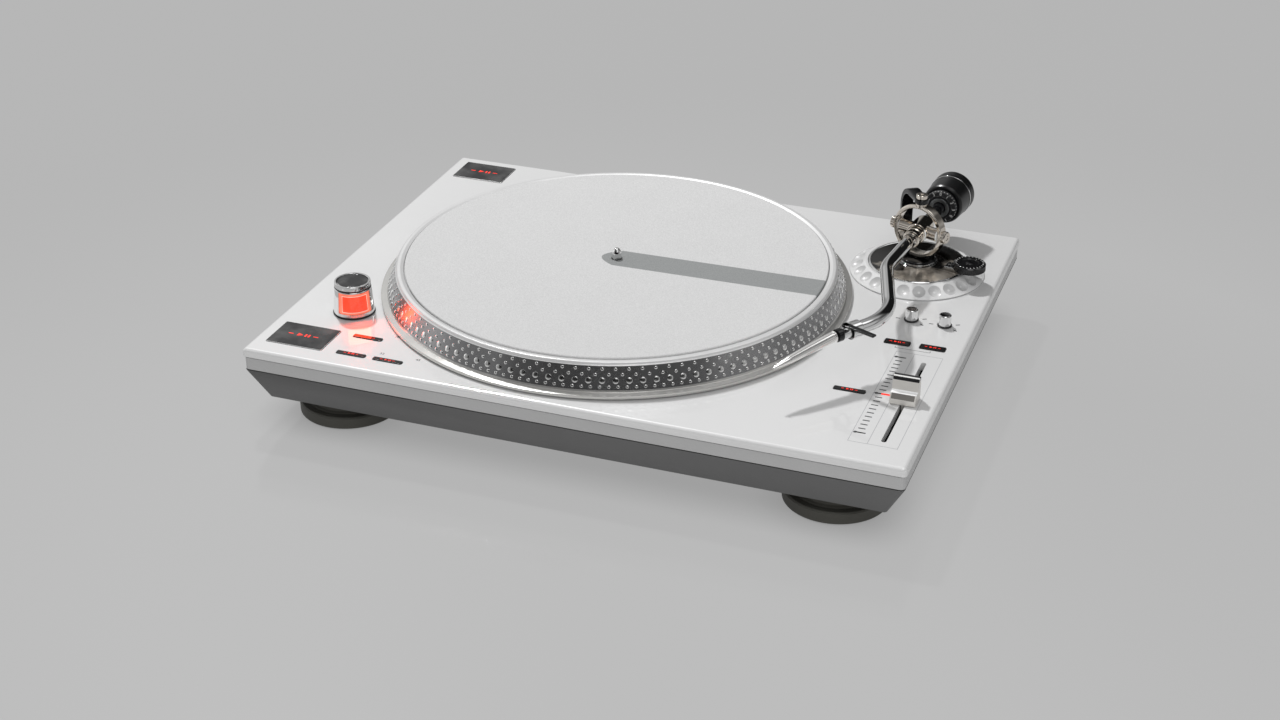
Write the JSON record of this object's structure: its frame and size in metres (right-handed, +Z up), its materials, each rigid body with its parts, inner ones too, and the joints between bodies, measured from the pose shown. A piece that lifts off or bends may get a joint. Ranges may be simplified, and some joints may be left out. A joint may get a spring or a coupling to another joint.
{
  "type": "turntable",
  "caption": "Direct drive turntable: glossy rectangular deck on round feet, heavy platter with felt mat, strobe tower, pitch fader and an S shaped pivoting arm with counterweight.",
  "frame": {"origin": "on the surface that the feet stand on, under the middle of the deck", "axes": "+X to the right along the deck, +Y to the back, +Z up"},
  "size_m": [0.458, 0.356, 0.1186],
  "materials": {
    "deck_lacquer": "glossy pale lacquer",
    "frame_paint": "satin grey paint",
    "base_moulding": "fine grained dark moulding",
    "foot_rubber": "matt dark rubber",
    "platter_metal": "turned cast aluminium with a dark satin band and polished edges",
    "mat_felt": "pale grey felt with a plain darker stripe",
    "chrome": "polished chrome",
    "steel": "plain zinc plated steel",
    "ferrite": "dark sintered magnet",
    "copper": "enamelled copper windings on an iron core",
    "brass": "turned brass",
    "black_gloss": "mirror black",
    "weight_lacquer": "glossy black lacquer on cast metal",
    "black_satin": "satin black",
    "lens_red": "lit red lens",
    "board_green": "green circuit board",
    "arm_silver": "smooth silver white"
  },
  "bodies": {
    "chassis": {"top_deck": "deck_lacquer", "mid_frame": "frame_paint", "base_tub": "base_moulding", "case_screw_front_left": "steel", "case_screw_front_right": "steel", "case_screw_rear_left": "steel", "case_screw_rear_right": "steel", "strobe_gasket": "black_satin", "strobe_tower": "chrome", "strobe_window": "lens_red", "power_switch": "black_satin", "button_board_left": "board_green", "button_board_rear": "board_green", "control_board": "board_green", "fader_track": "black_satin", "motor_plate": "steel", "motor_stator": "copper", "spindle_bearing": "brass", "main_board": "board_green", "transformer": "steel", "mains_inlet": "black_satin", "signal_panel": "brass"},
    "foot_front_left_body": {"foot_front_left": "foot_rubber"},
    "foot_front_right_body": {"foot_front_right": "foot_rubber"},
    "foot_rear_left_body": {"foot_rear_left": "foot_rubber"},
    "foot_rear_right_body": {"foot_rear_right": "foot_rubber"},
    "platter_body": {"platter": "platter_metal", "rotor_magnet": "ferrite", "spindle": "chrome"},
    "slipmat_body": {"slipmat": "mat_felt"},
    "power_dial_body": {"power_dial": "black_gloss"},
    "start_button_front_body": {"start_button_front": "black_gloss"},
    "start_button_rear_body": {"start_button_rear": "black_gloss"},
    "speed_button_low_body": {"speed_button_low": "black_gloss"},
    "speed_button_mid_body": {"speed_button_mid": "black_gloss"},
    "speed_button_high_body": {"speed_button_high": "black_gloss"},
    "quartz_button_body": {"quartz_button": "black_gloss"},
    "reset_button_body": {"reset_button": "black_gloss"},
    "range_button_body": {"range_button": "black_gloss"},
    "start_knob_body": {"start_knob": "chrome"},
    "brake_knob_body": {"brake_knob": "chrome"},
    "pitch_fader_body": {"pitch_fader": "chrome"},
    "height_ring_body": {"height_ring": "deck_lacquer"},
    "arm_base_body": {"arm_base": "chrome", "arm_yoke": "black_gloss", "top_pivot": "chrome"},
    "anti_skate_body": {"anti_skate_dial": "black_satin"},
    "arm_swing_body": {"gimbal_ring": "chrome", "side_pivot_left": "chrome", "side_pivot_right": "chrome"},
    "arm_tilt_body": {"bearing_block": "arm_silver", "arm_tube": "chrome", "headshell": "black_satin", "finger_lift": "black_satin", "cartridge": "arm_silver", "stylus": "arm_silver"},
    "lock_collar_body": {"lock_collar": "chrome"},
    "weight_carrier_body": {"weight_carrier": "steel"},
    "counterweight_body": {"counterweight": "weight_lacquer"},
    "force_dial_body": {"force_dial": "black_satin"}
  },
  "joints": [
    {"name": "foot_front_left_turn", "type": "hinge", "parent": "chassis", "child": "foot_front_left_body", "pos_m": [-0.1743, -0.1317, 0], "axis": [0, 0, 1], "range_deg": [-360, 720]},
    {"name": "foot_front_right_turn", "type": "hinge", "parent": "chassis", "child": "foot_front_right_body", "pos_m": [0.1743, -0.1317, 0], "axis": [0, 0, 1], "range_deg": [-360, 720]},
    {"name": "foot_rear_left_turn", "type": "hinge", "parent": "chassis", "child": "foot_rear_left_body", "pos_m": [-0.1743, 0.1317, 0], "axis": [0, 0, 1], "range_deg": [-360, 720]},
    {"name": "foot_rear_right_turn", "type": "hinge", "parent": "chassis", "child": "foot_rear_right_body", "pos_m": [0.1743, 0.1317, 0], "axis": [0, 0, 1], "range_deg": [-360, 720]},
    {"name": "platter_spin", "type": "hinge", "parent": "chassis", "child": "platter_body", "pos_m": [-0.025, -0.00275, 0.058], "axis": [0, 0, -1], "continuous": true},
    {"name": "slipmat_slip", "type": "hinge", "parent": "platter_body", "child": "slipmat_body", "pos_m": [-0.025, -0.00275, 0.078], "axis": [0, 0, 1], "continuous": true},
    {"name": "power_dial_turn", "type": "hinge", "parent": "chassis", "child": "power_dial_body", "pos_m": [-0.1827, -0.1022, 0.08], "axis": [0, 0, 1], "range_deg": [0, 40]},
    {"name": "start_button_front_press", "type": "slide", "parent": "chassis", "child": "start_button_front_body", "axis": [0, 0, -1], "range_m": [0, 0.0006], "stiffness_N_per_m": 900, "springref_m": -0.0015},
    {"name": "start_button_rear_press", "type": "slide", "parent": "chassis", "child": "start_button_rear_body", "axis": [0, 0, -1], "range_m": [0, 0.0006], "stiffness_N_per_m": 900, "springref_m": -0.0015},
    {"name": "speed_button_low_press", "type": "slide", "parent": "chassis", "child": "speed_button_low_body", "axis": [0, 0, -1], "range_m": [0, 0.0006], "stiffness_N_per_m": 500, "springref_m": -0.0012},
    {"name": "speed_button_mid_press", "type": "slide", "parent": "chassis", "child": "speed_button_mid_body", "axis": [0, 0, -1], "range_m": [0, 0.0006], "stiffness_N_per_m": 500, "springref_m": -0.0012},
    {"name": "speed_button_high_press", "type": "slide", "parent": "chassis", "child": "speed_button_high_body", "axis": [0, 0, -1], "range_m": [0, 0.0006], "stiffness_N_per_m": 500, "springref_m": -0.0012},
    {"name": "quartz_button_press", "type": "slide", "parent": "chassis", "child": "quartz_button_body", "axis": [0, 0, -1], "range_m": [0, 0.0006], "stiffness_N_per_m": 500, "springref_m": -0.0012},
    {"name": "reset_button_press", "type": "slide", "parent": "chassis", "child": "reset_button_body", "axis": [0, 0, -1], "range_m": [0, 0.0006], "stiffness_N_per_m": 500, "springref_m": -0.0012},
    {"name": "range_button_press", "type": "slide", "parent": "chassis", "child": "range_button_body", "axis": [0, 0, -1], "range_m": [0, 0.0006], "stiffness_N_per_m": 500, "springref_m": -0.0012},
    {"name": "start_knob_turn", "type": "hinge", "parent": "chassis", "child": "start_knob_body", "pos_m": [0.1845, 0.017, 0.06], "axis": [0, 0, 1], "range_deg": [-140, 140]},
    {"name": "brake_knob_turn", "type": "hinge", "parent": "chassis", "child": "brake_knob_body", "pos_m": [0.208, 0.0162, 0.06], "axis": [0, 0, 1], "range_deg": [-140, 140]},
    {"name": "pitch_fader_slide", "type": "slide", "parent": "chassis", "child": "pitch_fader_body", "axis": [0, 1, 0], "range_m": [-0.05, 0.05]},
    {"name": "height_ring_turn", "type": "hinge", "parent": "chassis", "child": "height_ring_body", "pos_m": [0.17, 0.094, 0.06], "axis": [0, 0, 1], "range_deg": [0, 300]},
    {"name": "arm_base_lift", "type": "slide", "parent": "chassis", "child": "arm_base_body", "axis": [0, 0, 1], "range_m": [0, 0.006]},
    {"name": "anti_skate_turn", "type": "hinge", "parent": "arm_base_body", "child": "anti_skate_body", "pos_m": [0.20897, 0.08699, 0.072], "axis": [0, 0, 1], "range_deg": [0, 270]},
    {"name": "arm_swing", "type": "hinge", "parent": "arm_base_body", "child": "arm_swing_body", "pos_m": [0.17, 0.094, 0.091], "axis": [0, 0, -1], "range_deg": [0, 38]},
    {"name": "arm_tilt", "type": "hinge", "parent": "arm_swing_body", "child": "arm_tilt_body", "pos_m": [0.17, 0.094, 0.091], "axis": [-0.9944, 0.1059, 0], "range_deg": [0, 10]},
    {"name": "lock_collar_turn", "type": "hinge", "parent": "arm_tilt_body", "child": "lock_collar_body", "pos_m": [0.16564, -0.07346, 0.091], "axis": [0.5704, 0.8213, 0], "range_deg": [0, 60]},
    {"name": "weight_slide", "type": "slide", "parent": "arm_tilt_body", "child": "weight_carrier_body", "axis": [0.1059, 0.9944, 0], "range_m": [-0.0025, 0.0025]},
    {"name": "counterweight_turn", "type": "hinge", "parent": "weight_carrier_body", "child": "counterweight_body", "pos_m": [0.17, 0.094, 0.091], "axis": [0.1059, 0.9944, 0], "range_deg": [-360, 360]},
    {"name": "force_dial_turn", "type": "hinge", "parent": "counterweight_body", "child": "force_dial_body", "pos_m": [0.17, 0.094, 0.091], "axis": [0.1059, 0.9944, 0], "range_deg": [-180, 180]}
  ],
  "couplings": [
    {"joint": "arm_base_lift", "follows": "height_ring_turn", "m_per_rad": 0.0011459},
    {"joint": "weight_slide", "follows": "counterweight_turn", "m_per_rad": 0.00039788}
  ]
}
